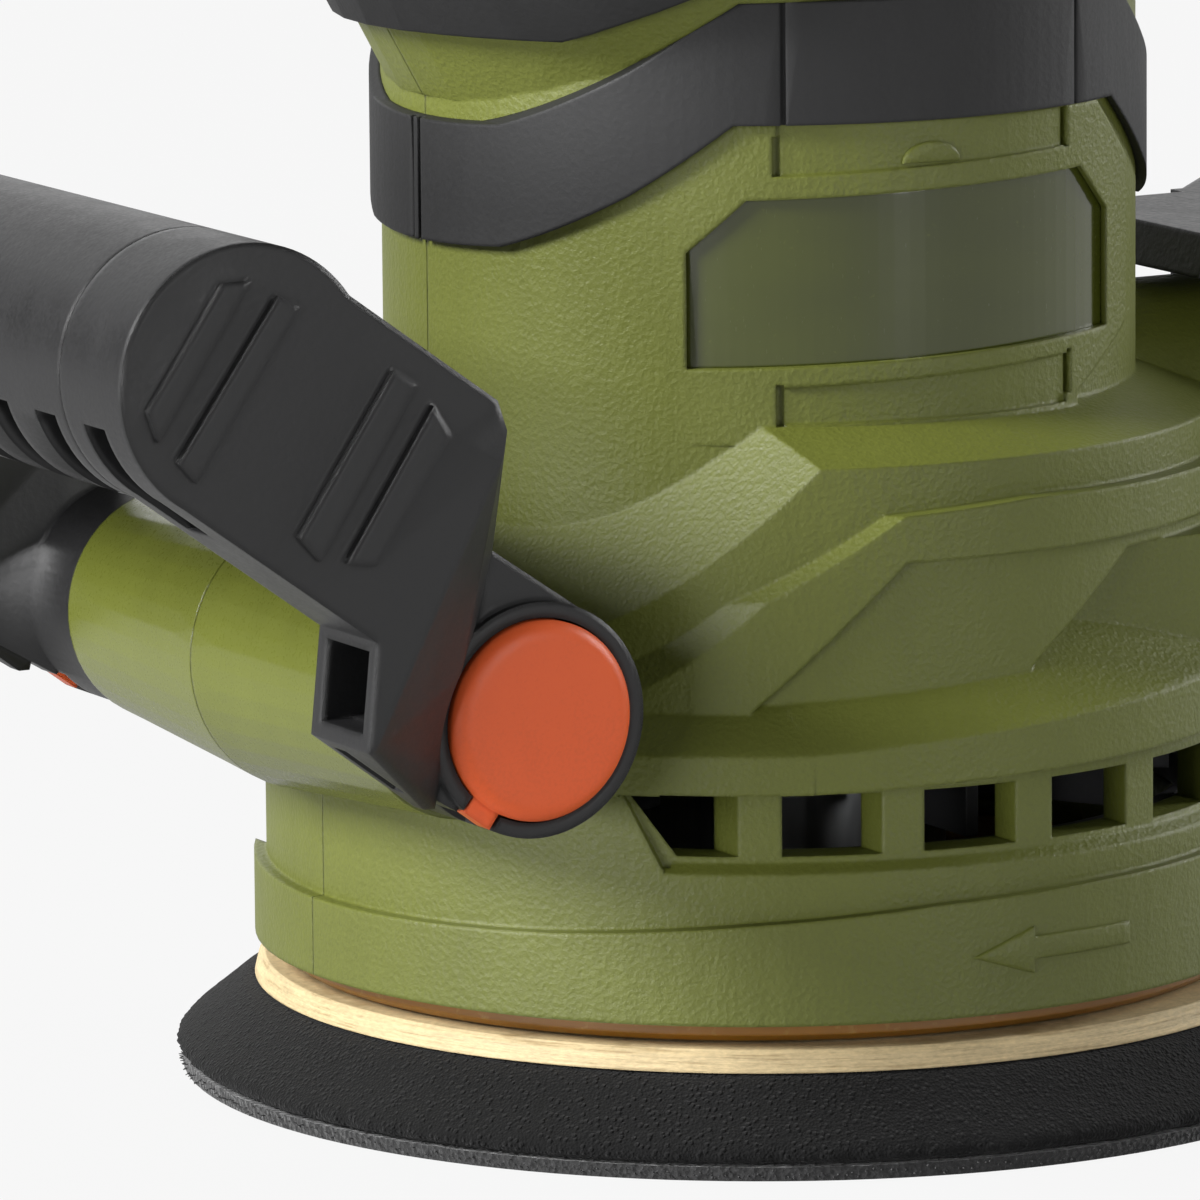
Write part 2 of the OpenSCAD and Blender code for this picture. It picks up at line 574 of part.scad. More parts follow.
module hook_face() color(black) at_pad() difference() {
    cylinder(r = pad_d / 2 - 0.9, h = hook_t, $fn = 96);
    dust_cuts(-1, 12);
    around4(12) translate([0, 0, -1]) cylinder(r = 4.4, h = 12);
  }
module pad_screws() color(steel) at_pad() around4(12) difference() {
      union() {
        translate([0, 0, 6.8]) cylinder(r = 3.6, h = 2.4);
        translate([0, 0, 9]) cylinder(r = 1.66, h = 5.4);
      }
      translate([0, 0, 5]) cylinder(r = 1.6, h = 3.2, $fn = 6);
    }

// ---------- bail handle ----------

bar_r = bar_d / 2;
half_w = bail_w / 2;
cap_y = 42.7;
plate_in = 43.5;
// Flat outer face of the arm, then the corners where its bevels come down to the hub plate
arm_points = [[-77, 92.4], [-61, 80.9], [-60, 77.9], [-60.6, 75], [-74.3, 58.5], [-95.3, 73.6]];
top_corner = [-56.4, 63.9];
low_corner = [-63, 39.6];
pocket_corner = [-75.4, 47.9];
// Raised ribs on the arm's outer face
face_ribs = [[[-90.8, 94.6], [-87.7, 94.6], [-97.8, 80], [-98.9, 83.1]],
  [[-84.9, 93], [-82.5, 91.7], [-93.8, 75.8], [-95.7, 77.9]],
  [[-72.6, 84.8], [-70, 83.2], [-80.7, 67.1], [-83, 69.6]],
  [[-68.3, 81.1], [-66.4, 78], [-74.7, 66.1], [-77.9, 66.7]]];
// Slots round the underside of the bar and its end caps
module grip_slot(y) translate([bar_x - 15, y - 2.2, bar_z - 15]) cube([21, 4.4, 11]);
module corner(p, y0, y1) slab_xz([p, p + [-1.2, 0], p + [-0.6, 1]], y0, y1);
module bail_arm_solid() difference() {
    union() {
      along_y(bar_x, bar_z, -half_w, -cap_y, bar_r);
      slab_xz(arm_points, -half_w, -plate_in);
      hull() {
        slab_xz([arm_points[1], arm_points[2], arm_points[3], arm_points[4]], -half_w, -plate_in);
        slab_xz([arm_points[4], pocket_corner, pocket_corner + [0.8, 0.4]], -half_w, -plate_in);
        corner(top_corner, -hub_face, -plate_in);
        corner(low_corner, -hub_face, -plate_in);
      }
      hull() {
        along_y(pivot_x, pivot_z, -hub_face, -plate_in + 1.5, hub_d / 2 - 0.1);
        corner(top_corner, -hub_face, -plate_in);
        corner(pocket_corner + [1.2, 0], -hub_face, -plate_in);
      }
      along_y(bar_x, bar_z, -cap_y - 1, -30.5, bar_r - 2.8);
      for (p = face_ribs) slab_xz(p, -half_w - 0.7, -half_w + 0.2);
    }
    along_y(pivot_x, pivot_z, -60, -hub_face, hub_d / 2 + 0.1);
    along_y(bar_x, bar_z, -half_w + 3, 0, bar_r - 4.6);
    grip_slot(-48.6);
    // open pocket and slot in the arm's lower end
    translate([-85.4, -53.9, 49.5]) cube([13.4, 8.6, 8]);
    translate([-72.1, -50.1, 49.7]) cube([6, 4.8, 7.2]);
    translate([-73.7, 0, 46.8]) rotate([0, 33.8, 0]) translate([0, -47.5, -2]) cube([8, 2.4, 5]);
    translate([bar_x, -33, 60]) cylinder(r = 1.6, h = 20);
    along_y(pivot_x, pivot_z, -60, 0, hub_d / 2 - 1);
    key_slot();
  }
module bail_hub() difference() {
    along_y(pivot_x, pivot_z, -hub_face - 1, -hub_inner, hub_d / 2);
    along_y(pivot_x, pivot_z, -50, 0, 6.6);
    along_y(pivot_x, pivot_z, -50, -39.9, button_d / 2 + 0.2);
    key_slot();
  }
key_angle = 233.5;
module key_slot() translate([pivot_x, 0, pivot_z]) rotate([0, -key_angle, 0]) translate([0, -60, -2]) cube([13, 19.5, 4]);
module near_bail_arm() color(black) { bail_arm_solid(); bail_hub(); }
module far_bail_arm() color(black) mirror([0, 1, 0]) { bail_arm_solid(); bail_hub(); }
module bail_bar() color(black) difference() {
    along_y(bar_x, bar_z, -cap_y + 0.1, cap_y - 0.1, bar_r);
    along_y(bar_x, bar_z, -cap_y - 1, cap_y + 1, bar_r - 2.75);
    for (s = [-1, 1]) {
      translate([bar_x, 33 * s, 60]) cylinder(r = 1.6, h = 20);
      translate([bar_x, 33 * s, 60]) cylinder(r = 2.5, h = bar_z - bar_r - 60 + 1.5);
      for (y = [38.1, 27.7, 17.3, 6.9]) grip_slot(s * y);
    }
  }
module bail_screws() color(steel) for (s = [-1, 1]) translate([bar_x, 33 * s, 0]) difference() {
      union() {
        translate([0, 0, bar_z - bar_r]) cylinder(r = 2.4, h = 1.5);
        translate([0, 0, bar_z - bar_r + 1]) cylinder(r = 1.55, h = 6.6);
      }
      translate([-1.8, -0.35, bar_z - bar_r - 1]) cube([3.6, 0.7, 1.8]);
    }

module lock_button_solid() {
  along_y(pivot_x, pivot_z, -46.9, -43.2, button_d / 2);
  along_y(pivot_x, pivot_z, -47.6, -46.9, button_d / 2 - 0.5, button_d / 2);
  along_y(pivot_x, pivot_z, -48, -47.6, button_d / 2 - 1.5, button_d / 2 - 0.5);
  along_y(pivot_x, pivot_z, -44, -26.1, 4.15);
  translate([pivot_x, 0, pivot_z]) rotate([0, -key_angle, 0]) translate([8, -46.3, -1.7]) cube([3.6, 2.4, 3.4]);
}
module near_lock_button() color(orange) lock_button_solid();
module far_lock_button() color(orange) mirror([0, 1, 0]) lock_button_solid();
module near_button_spring() color(steel) translate([pivot_x, -26, pivot_z]) rotate([-90, 0, 0])
    translate([0, 0, 0.5]) coil_spring(2.9, 5, 0.45, 4);
module far_button_spring() color(steel) mirror([0, 1, 0]) near_button_spring();

// ---------- dust canister, in the frame of the duct: x up, z away from the motor ----------

can_half = can_w / 2;
side_points = [[27.5, 1], [27.5, 60], [22, 70], [-15, 70], [-20.5, 65], [-20.5, 14], [-14.5, 1]];
side_inner = [[25.4, 3.1], [25.4, 90], [-18.4, 90], [-18.4, 14.6], [-13.2, 3.1]];
module slab_yz(points, x0, x1) translate([x0, 0, 0]) rotate([90, 0, 90]) linear_extrude(x1 - x0) polygon(points);
module mirrored_yz(half_points, x0, x1) {
  n = len(half_points);
  slab_yz(concat(half_points, [for (i = [n - 1 : -1 : 0]) [-half_points[i][0], half_points[i][1]]]), x0, x1);
}
plan_half = [[17.4, 1], [17.4, 2.5], [can_half, 14], [can_half, 64], [can_half - 5, 70]];
plan_inner = [[15.8, 3.1], [can_half - 2.1, 14.8], [can_half - 2.1, 90]];
lid_s = 65;
hinge_u = -22.6;
hinge_s = 65.05;
module canister_outer() {
  intersection() { slab_xz(side_points, -40, 40); mirrored_yz(plan_half, -30, 30); }
  slab_xz([[23.1, -16], [27.5, -14.5], [27.5, 3], [23.1, 3]], -15, 15);
}
module hinge_knuckle(y0, y1) difference() {
    union() {
      along_y(hinge_u, hinge_s, y0, y1, 2.1);
      translate([hinge_u, y0, hinge_s - 1.2]) cube([2.8, y1 - y0, 2.4]);
    }
    along_y(hinge_u, hinge_s, -40, 40, 1.06);
  }
module canister_body() color(black) at_tail() {
  difference() {
    canister_outer();
    intersection() { slab_xz(side_inner, -40, 40); mirrored_yz(plan_inner, -30, 30); }
    translate([-60, -60, lid_s]) cube([120, 120, 40]);
    cylinder(r = spigot_d / 2 + 0.3, h = 10);
    // room round the lid's knuckle
    translate([hinge_u - 4, -6.2, hinge_s - 2.6]) cube([7.1, 12.4, 5]);
  }
  ring(spigot_d / 2 + 2.6, spigot_d / 2 + 0.3, 1.2, 17.2);
  ring(spigot_d / 2 + 2.6, spigot_d / 2 - 2, 17, 18.8);
  for (s = [-1, 1]) hinge_knuckle(s < 0 ? -14 : 6.4, s < 0 ? -6.4 : 14);
}
module canister_lid() color(black) at_tail() {
  difference() {
    intersection() { canister_outer(); translate([-60, -60, lid_s + 0.1]) cube([120, 120, 40]); }
    translate([-15.5, -can_half + 7.5, 0]) cube([36, can_w - 15, 67.4]);
    for (s = [-1, 1]) translate([hinge_u - 4, s < 0 ? -14.4 : 6, hinge_s - 3]) cube([7.1, 8.4, 6]);
  }
  hinge_knuckle(-5.8, 5.8);
}
module lid_hinge_pin() color(steel) at_tail() along_y(hinge_u, hinge_s, -14, 14, 1);
// Pleated filter in a flat frame
module canister_filter() color([0.85, 0.83, 0.76]) at_tail() {
  difference() {
    translate([-18.3, -can_half + 2.2, 58]) cube([43.6, can_w - 4.4, 2.5]);
    translate([-14, -23, 57]) cube([35, 46, 5]);
  }
  for (i = [0 : 9]) translate([-14.1, -23.1 + i * 4.8, 44]) cube([35.2, 3, 16.5]);
}
module canister_seal() color([0.3, 0.3, 0.3]) at_tail() ring(spigot_d / 2 + 0.25, spigot_d / 2 - 2, 16.05, 16.95);

// ---------- trigger, lock-on button and dial ----------

module trigger() color(black) difference() {
    union() {
      slab_xz([[54.3, 129], [54.3, 120.5], [58.5, 116], [65, 114.4], [79, 114.4], [85.5, 116], [89.7, 120.5], [89.7, 129]],
        -5.9, 5.9);
      translate([52.5, -7.7, 127.7]) cube([39, 15.4, 1.5]);
    }
    translate([57, -4, 119]) cube([30, 8, 8.6]);
  }
module trigger_spring() color(steel) translate([66, 0, 129.2]) translate([0, 0, 0.5]) coil_spring(2.6, 4.3, 0.45, 4);
module lock_on_button() color(black) {
  along_y(lock_on_x, arm_z, -19.4, -11, 4.1);
  along_y(lock_on_x, arm_z, -12.2, -10.8, 5.4);
}
module speed_dial() color(black) difference() {
    union() {
      along_y(dial_x, dial_z, -3.6, 3.6, dial_r);
      along_y(dial_x, dial_z, -8, 8, 2);
    }
    for (a = [0 : 15 : 345]) translate([dial_x, 0, dial_z]) rotate([0, a, 0])
      translate([dial_r + 0.3, -5, 0]) rotate([-90, 0, 0]) cylinder(r = 0.8, h = 10);
  }

near_housing_half();
far_housing_half();
rubber_band();
top_grip();
badge_panel();
housing_screws();
cord_gland();
pad_brake_ring();
dust_shroud();
bearing_plate();
bearing_plate_screws();
field_core();
field_windings();
brush_holders();
carbon_brushes();
brush_springs();
upper_bearing_outer();
upper_bearing_seat();
lower_bearing_outer();
lock_rings();
switch_body();
control_board();
motor_shaft();
armature_core();
armature_windings();
commutator();
fan();
counterweight();
upper_bearing_inner();
upper_bearing_balls();
lower_bearing_inner();
lower_bearing_balls();
pad_bearing_outer();
pad_spindle();
pad_bearing_inner();
pad_bearing_balls();
backing_plate();
foam_pad();
hook_face();
pad_screws();
near_bail_arm();
far_bail_arm();
bail_bar();
bail_screws();
near_lock_button();
far_lock_button();
near_button_spring();
far_button_spring();
canister_body();
canister_lid();
canister_filter();
canister_seal();
lid_hinge_pin();
trigger();
trigger_spring();
lock_on_button();
speed_dial();
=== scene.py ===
"""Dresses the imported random-orbit sander: a finish for every part, and its visible pieces in detail."""

import json
import math
import random

import bmesh
import bpy
from bpy.props import FloatProperty, FloatVectorProperty, IntProperty, PointerProperty
from mathutils import Matrix, Vector


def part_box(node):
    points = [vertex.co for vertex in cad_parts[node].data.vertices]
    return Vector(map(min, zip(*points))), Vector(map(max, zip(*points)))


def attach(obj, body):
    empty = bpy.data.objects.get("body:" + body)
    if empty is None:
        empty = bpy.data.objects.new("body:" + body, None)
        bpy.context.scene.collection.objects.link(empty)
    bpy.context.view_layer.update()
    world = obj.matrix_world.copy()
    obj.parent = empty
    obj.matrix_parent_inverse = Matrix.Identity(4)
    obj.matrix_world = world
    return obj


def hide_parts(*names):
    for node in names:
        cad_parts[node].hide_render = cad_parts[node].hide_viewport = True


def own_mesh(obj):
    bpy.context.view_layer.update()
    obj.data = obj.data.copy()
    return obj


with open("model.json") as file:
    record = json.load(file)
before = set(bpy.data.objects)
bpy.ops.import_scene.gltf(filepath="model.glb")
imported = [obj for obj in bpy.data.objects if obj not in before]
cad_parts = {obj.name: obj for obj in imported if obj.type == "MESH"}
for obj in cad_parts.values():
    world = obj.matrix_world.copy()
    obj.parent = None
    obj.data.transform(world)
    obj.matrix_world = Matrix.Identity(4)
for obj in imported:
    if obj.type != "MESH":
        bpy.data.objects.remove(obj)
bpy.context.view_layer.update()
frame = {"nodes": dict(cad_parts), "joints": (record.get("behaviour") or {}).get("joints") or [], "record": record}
NODES = frame["nodes"]
MM = 0.001
# how deep a raised mark is rooted in the wall behind it, in metres
ROOT = 0.0004
# radii of the walls under the raised marks
BASE_RADIUS, COLUMN_RADIUS = 0.0528, 0.03906
# how far the foam's surface wanders, and how far it stays inside its CAD box
CRUMB, HAIR = 0.00006, 0.00002
# distances for welding vertices and dropping slivers
WELD_GAP, SLIVER = 2e-6, 1e-6
# output and input numbers of shader nodes whose sockets share a name
OBJECT_OUT, NORMAL_OUT, DOT_OUT, MIX_OUT = 3, 1, 1, 2
MIX_FIRST, MIX_SECOND = 6, 7
FLOAT_FIRST, FLOAT_SECOND = 2, 3
CAMERA_RAY, GLOSSY_RAY = 0, 3
# the point every lamp looks at
LIT_POINT = Vector((-0.02, 0, 0.06))

bl_info = {
    "name": "Sander finishes",
    "version": (1, 0, 0),
    "blender": (4, 5, 0),
    "location": "3D View > Sidebar > Sander",
    "description": "Builds the looks of a random-orbit sander round its CAD parts",
    "category": "Object",
}


# ---------- settings ----------


class SanderColours(bpy.types.PropertyGroup):
    """Colours of the mouldings and pads, in scene-linear values."""

    olive: FloatVectorProperty(
        name="Housing", description="Moulded housing",
        subtype="COLOR", default=(0.134, 0.152, 0.022),
    )
    gloss: FloatVectorProperty(
        name="Badge", description="Glossy badge panel",
        subtype="COLOR", default=(0.055, 0.066, 0.005),
    )
    black: FloatVectorProperty(
        name="Black plastic", description="Bail and canister",
        subtype="COLOR", default=(0.0115, 0.0115, 0.012),
    )
    rubber: FloatVectorProperty(
        name="Rubber", description="Band and grip",
        subtype="COLOR", default=(0.0125, 0.0125, 0.013),
    )
    orange: FloatVectorProperty(
        name="Buttons", description="Lock buttons",
        subtype="COLOR", default=(1.0, 0.15, 0.035),
    )
    amber: FloatVectorProperty(
        name="Brake ring", description="Pad brake ring",
        subtype="COLOR", default=(0.24, 0.1, 0.004),
    )
    tan: FloatVectorProperty(
        name="Backing plate", description="Laminate plate",
        subtype="COLOR", default=(0.6, 0.47, 0.26),
    )
    foam: FloatVectorProperty(
        name="Foam", description="Foam of the pad",
        subtype="COLOR", default=(0.006, 0.006, 0.0063),
    )


class SanderSizes(bpy.types.PropertyGroup):
    """Sizes of the details that are added to the CAD parts."""

    edge: FloatProperty(
        name="Edge radius", description="Rounding of the moulded edges",
        unit="LENGTH", default=0.0006,
    )
    arm_edge: FloatProperty(
        name="Arm edge radius", description="Rounding of the bail's edges",
        unit="LENGTH", default=0.0011,
    )
    relief: FloatProperty(
        name="Mark relief", description="Height of the raised marks",
        unit="LENGTH", default=0.0004,
    )
    voxel: FloatProperty(
        name="Foam voxel", description="Grid size of the foam's surface",
        unit="LENGTH", default=0.0012,
    )
    tufts: IntProperty(
        name="Tufts", description="Hook tufts round the pad's edge",
        default=520, min=0, max=1500,
    )


class SanderStage(bpy.types.PropertyGroup):
    """The camera's place, aim and lens."""

    azimuth: FloatProperty(
        name="Azimuth", description="Direction the camera looks from",
        subtype="ANGLE", default=math.radians(-30),
    )
    distance: FloatProperty(
        name="Distance", description="Ground distance of the camera",
        unit="LENGTH", default=1.1,
    )
    height: FloatProperty(
        name="Height", description="Height of the camera",
        unit="LENGTH", default=0.2401,
    )
    pitch: FloatProperty(
        name="Pitch", description="Downward tilt",
        subtype="ANGLE", default=math.radians(9.92),
    )
    yaw: FloatProperty(
        name="Yaw", description="Turn away from the motor axis",
        subtype="ANGLE", default=math.atan(163.2 / 10787),
    )
    roll: FloatProperty(
        name="Roll", description="Turn about the line of sight",
        subtype="ANGLE", default=math.radians(0.5),
    )
    lens: FloatProperty(
        name="Lens", description="Focal length",
        subtype="DISTANCE_CAMERA", default=323.6,
    )


def colours():
    return bpy.context.scene.sander_colours


def sizes():
    return bpy.context.scene.sander_sizes


# ---------- shader expressions ----------


class Socket:
    """One output of a shader node. Python's operators on it add Math nodes."""

    def __init__(self, paint, output):
        self.paint, self.output = paint, output

    def __add__(self, other):
        return self.paint.math("ADD", self, other)

    def __sub__(self, other):
        return self.paint.math("SUBTRACT", self, other)

    def __rsub__(self, other):
        return self.paint.math("SUBTRACT", other, self)

    def __mul__(self, other):
        return self.paint.math("MULTIPLY", self, other)

    __radd__ = __add__
    __rmul__ = __mul__


class Paint:
    """One material's node tree, with a Principled shader at its end."""

    def __init__(self, name, **constants):
        self.material = bpy.data.materials.new(name)
        self.material.use_nodes = True
        self.tree = self.material.node_tree
        self.shader = next(n for n in self.tree.nodes if n.type == "BSDF_PRINCIPLED")
        for socket, value in constants.items():
            self.shader.inputs[socket.replace("_", " ")].default_value = value

    def node(self, kind, settings=None, inputs=None, output=0):
        """Adds a node: its settings first, then its sockets' values or links."""
        made = self.tree.nodes.new("ShaderNode" + kind)
        for key, value in (settings or {}).items():
            setattr(made, key, value)
        for key, value in (inputs or {}).items():
            self.feed(made.inputs[key], value)
        return Socket(self, made.outputs[output])

    def feed(self, socket, value):
        if isinstance(value, Socket):
            self.tree.links.new(value.output, socket)
        elif socket.type == "RGBA":
            socket.default_value = (*value, 1)
        else:
            socket.default_value = value

    def math(self, operation, *values, clamp=False):
        return self.node("Math", {"operation": operation, "use_clamp": clamp}, dict(enumerate(values)))

    def place(self, scale=(1, 1, 1)):
        """Object coordinates, stretched."""
        coordinates = self.node("TexCoord", output=OBJECT_OUT)
        return self.node("Mapping", None, {"Vector": coordinates, "Scale": scale})

    def axes(self):
        split = self.node("SeparateXYZ", None, {"Vector": self.node("TexCoord", output=OBJECT_OUT)})
        return [Socket(self, split.output.node.outputs[i]) for i in range(3)]

    def noise(self, scale, detail=2.0, roughness=0.5, vector=None):
        inputs = {"Vector": vector or self.place(), "Scale": scale, "Detail": detail, "Roughness": roughness}
        return self.node("TexNoise", None, inputs)

    def cells(self, scale):
        return self.node("TexVoronoi", {"feature": "F1"}, {"Vector": self.place(), "Scale": scale})

    def remap(self, value, low, high, to_low=0.0, to_high=1.0):
        return self.node("MapRange", {"clamp": True}, {"Value": value, "From Min": low, "From Max": high,
                                                       "To Min": to_low, "To Max": to_high})

    def mix(self, factor, first, second):
        mixer = self.node("Mix", {"data_type": "RGBA"}, {0: factor}, MIX_OUT)
        self.feed(mixer.output.node.inputs[MIX_FIRST], first)
        self.feed(mixer.output.node.inputs[MIX_SECOND], second)
        return mixer

    def tint(self, colour, factor):
        """A colour made darker or lighter by a factor that changes over the surface."""
        return self.mix(factor, tuple(0.0 for _ in colour), tuple(2.0 * c for c in colour))

    def edges(self, radius):
        """1 on sharp edges, 0 on flats, and the rounded normal."""
        rounded = self.node("Bevel", {"samples": 4}, {"Radius": radius})
        straight = self.node("NewGeometry", output=NORMAL_OUT)
        same = self.node("VectorMath", {"operation": "DOT_PRODUCT"}, {0: rounded, 1: straight}, DOT_OUT)
        return self.remap(same, 0.99, 0.8), rounded

    def bump(self, height, distance, normal=None):
        inputs = {"Height": height, "Distance": distance, "Strength": 1.0}
        if normal is not None:
            inputs["Normal"] = normal
        return self.node("Bump", None, inputs)

    def into(self, **links):
        for name, value in links.items():
            self.feed(self.shader.inputs[name.replace("_", " ")], value)
        return self.material


def scaled(colour, factor):
    return tuple(c * factor for c in colour)


# ---------- finishes ----------


def moulded(name, colour, roughness, grain, depth, edge, spread, wear):
    """Moulded plastic: spark-eroded grain, cloudy colour, polished and slightly paler edges."""
    p = Paint(name, IOR=1.5)
    fine = p.noise(grain, 2.0, 0.6)
    cells = p.cells(grain * 0.55)
    cloud = p.noise(55, 3.0)
    smear = p.noise(260, 2.0, vector=p.place((1, 1, 0.4)))
    worn, rounded = p.edges(edge)
    shade = 0.5 + (cloud - 0.5) * spread + (fine - 0.5) * spread * 0.9 + (smear - 0.5) * spread * 0.5
    base = p.mix(worn * wear, p.tint(colour, shade), scaled(colour, 1.7))
    rough = p.math("ADD", roughness + (fine - 0.5) * 0.22 + (smear - 0.5) * 0.12, worn * -0.12, clamp=True)
    height = fine * 0.7 + cells * 0.5
    return p.into(Base_Color=base, Roughness=rough, Normal=p.bump(height, depth, rounded))


def housing_finish():
    """Olive housing: sparkling grain on the body, polished on the cross tube, and painted shade darkening it
    towards the bottom, below the rim.
    """
    c = colours()
    p = Paint("olive_housing", IOR=1.55)
    x, y, z = p.axes()
    pivot = frame_point("bail_swing")
    across, above = x - pivot.x, z - pivot.z
    reach = p.math("SQRT", across * across + above * above)
    inboard = p.remap(p.math("ABSOLUTE", y), 0.0335, 0.0325)
    tube = p.remap(reach, 0.0152, 0.0147) * p.remap(x, -0.044, -0.05) * inboard
    fine = p.noise(2500, 2.0, 0.65)
    cells = p.cells(1500)
    cloud = p.noise(38, 3.0)
    smear = p.noise(240, 2.0, vector=p.place((1, 1, 0.35)))
    worn, rounded = p.edges(sizes().edge)
    matt = 1 - tube * 0.85
    shade = 0.5 + (cloud - 0.5) * 0.1 + (fine - 0.5) * 0.16 * matt + (smear - 0.5) * 0.06
    # low: painted shade, darkening the housing from z 36 mm down to z 20 mm, under the rim
    low = p.remap(z, 0.036, 0.02) * 0.06
    base = p.mix(worn * 0.3, p.tint(c.olive, shade - low), scaled(c.olive, 1.55))
    spark = p.remap(cells, 0.12, 0.02)
    rough = p.math("ADD", 0.5 + (fine - 0.5) * 0.25 - spark * 0.22 - tube * 0.2, worn * -0.12, clamp=True)
    height = (fine * 0.8 + cells * 0.6) * matt
    return p.into(Base_Color=base, Roughness=rough, Normal=p.bump(height, 0.00009, rounded))


def metal(name, colour, roughness=0.3, grain=(900, 900, 60), depth=0.000004, edge=0.0002):
    """Turned, ground or drawn metal: a stretched grain, small scratches and bright edges."""
    p = Paint(name, Metallic=1.0)
    brushed = p.noise(1.0, 3.0, 0.6, p.place(grain))
    blotch = p.noise(90, 3.0)
    scratch = p.remap(p.noise(1.0, 2.0, 0.5, p.place((300, 4000, 300))), 0.66, 0.72)
    worn, rounded = p.edges(edge)
    shade = 0.5 + (brushed - 0.5) * 0.2 + (blotch - 0.5) * 0.12
    base = p.mix(worn * 0.6, p.tint(colour, shade), scaled(colour, 1.25))
    rough = p.math("ADD", roughness + (brushed - 0.5) * 0.2 + (blotch - 0.5) * 0.14, scratch * 0.12, clamp=True)
    return p.into(Base_Color=base, Roughness=rough, Normal=p.bump(brushed, depth, rounded))


def layered(name, colour, gap, metallic, roughness, pitch):
    """Stacked sheet or wound wire: dark lines a pitch apart, one shade a layer."""
    p = Paint(name, Metallic=metallic)
    along = p.axes()[2] * (1.0 / pitch)
    line = p.math("PINGPONG", along, 0.5)
    seam = p.remap(line, 0.0, 0.12, 1.0, 0.0)
    step = p.noise(1.0, 0.0, 0.5, p.place((20, 20, 1.3 / pitch)))
    base = p.mix(seam * 0.8, p.tint(colour, 0.5 + (step - 0.5) * 0.5), gap)
    rough = roughness + (step - 0.5) * 0.25
    return p.into(Base_Color=base, Roughness=rough, Normal=p.bump(line, pitch * 0.25))


def foam_finish():
    """Cut closed-cell foam: open pores with painted shade in them, pale dust flecks, and a fibrous sheen."""
    c = colours()
    p = Paint("cut_foam", Sheen_Weight=0.05, Sheen_Roughness=0.6, Specular_IOR_Level=0.2)
    pores = p.cells(1350)
    small = p.cells(3300)
    fleck = p.noise(2400, 3.0, 0.7)
    cloud = p.noise(70, 3.0)
    hole = p.remap(pores, 0.18, 0.42)
    # hole * 0.18: painted shade, darkening the low hollows of the pore bump
    shade = 0.42 + (fleck - 0.5) * 0.7 + (cloud - 0.5) * 0.35 - hole * 0.18
    dust = p.remap(fleck, 0.62, 0.78)
    base = p.mix(dust * 0.22, p.tint(c.foam, shade), (0.07, 0.07, 0.07))
    rough = p.math("ADD", 0.86 + (fleck - 0.5) * 0.2, 0.0, clamp=True)
    height = (1 - hole) * 0.9 + small * 0.5 + fleck * 0.5
    return p.into(Base_Color=base, Roughness=rough, Normal=p.bump(height, 0.00028))


def hook_finish():
    c = colours()
    p = Paint("hook_fastening", Sheen_Weight=0.4, Sheen_Roughness=0.5)
    cells = p.cells(1500)
    fleck = p.noise(3000, 3.0, 0.7)
    dot = p.remap(cells, 0.1, 0.4)
    base = p.mix(p.remap(fleck, 0.55, 0.8) * 0.5, p.tint(c.foam, 0.35 + dot * 0.3), (0.16, 0.16, 0.165))
    rough = 0.8 + (fleck - 0.5) * 0.25
    return p.into(Base_Color=base, Roughness=rough, Normal=p.bump(cells + fleck * 0.5, 0.0003))


def laminate_finish():
    """Woven laminate with a machined edge: pale layers, darker resin between them, stray fibres."""
    c = colours()
    p = Paint("laminate", IOR=1.5)
    layers = p.noise(1.0, 4.0, 0.65, p.place((90, 90, 2600)))
    fibre = p.noise(1.0, 3.0, 0.6, p.place((1300, 1300, 4200)))
    stain = p.noise(120, 3.0, 0.6)
    shade = 0.5 + (layers - 0.5) * 0.5 + (fibre - 0.5) * 0.35 + (stain - 0.5) * 0.2
    resin = p.remap(layers, 0.42, 0.33)
    base = p.mix(resin * 0.45, p.tint(c.tan, shade), (0.32, 0.2, 0.07))
    rough = 0.6 + (fibre - 0.5) * 0.3
    rounded = p.edges(0.0003)[1]
    return p.into(Base_Color=base, Roughness=rough, Normal=p.bump(layers + fibre * 0.6, 0.00012, rounded))


def amber_finish():
    c = colours()
    spread = (0.002, 0.001, 0.0004)
    p = Paint("amber_rubber", Subsurface_Weight=0.15, Subsurface_Radius=spread, Coat_Weight=0.2)
    flow = p.noise(1.0, 3.0, 0.55, p.place((60, 60, 700)))
    dust = p.noise(900, 3.0, 0.6)
    shade = 0.5 + (flow - 0.5) * 0.45
    base = p.mix(p.remap(dust, 0.6, 0.8) * 0.3, p.tint(c.amber, shade), (0.5, 0.36, 0.12))
    rough = 0.34 + (dust - 0.5) * 0.2
    return p.into(Base_Color=base, Roughness=rough, Normal=p.bump(flow, 0.00004, p.edges(0.0004)[1]))


def badge_finish():
    """Polished badge panel: a soft lengthwise wave under the gloss, hair scratches, lint."""
    c = colours()
    p = Paint("polished_badge", IOR=1.52, Coat_Weight=0.6, Coat_Roughness=0.05)
    wave = p.noise(1.0, 2.0, 0.5, p.place((40, 40, 90)))
    scratch = p.remap(p.noise(1.0, 2.0, 0.5, p.place((5200, 260, 900))), 0.68, 0.73)
    lint = p.remap(p.noise(1700, 2.0), 0.7, 0.78)
    base = p.mix(lint * 0.15, p.tint(c.gloss, 0.5 + (wave - 0.5) * 0.3), scaled(c.olive, 1.5))
    rough = p.math("ADD", 0.16 + (wave - 0.5) * 0.08, scratch * 0.12, clamp=True)
    return p.into(Base_Color=base, Roughness=rough, Normal=p.bump(wave, 0.00003, p.edges(0.0004)[1]))


def paper_finish():
    p = Paint("filter_paper", Sheen_Weight=0.2)
    fibre = p.noise(1800, 4.0, 0.7)
    pleat = p.noise(1.0, 2.0, 0.5, p.place((40, 900, 40)))
    base = p.mix(p.remap(fibre, 0.55, 0.8), (0.72, 0.69, 0.6), (0.5, 0.45, 0.36))
    return p.into(Base_Color=base, Roughness=0.9 - fibre * 0.1, Normal=p.bump(fibre + pleat, 0.00012))


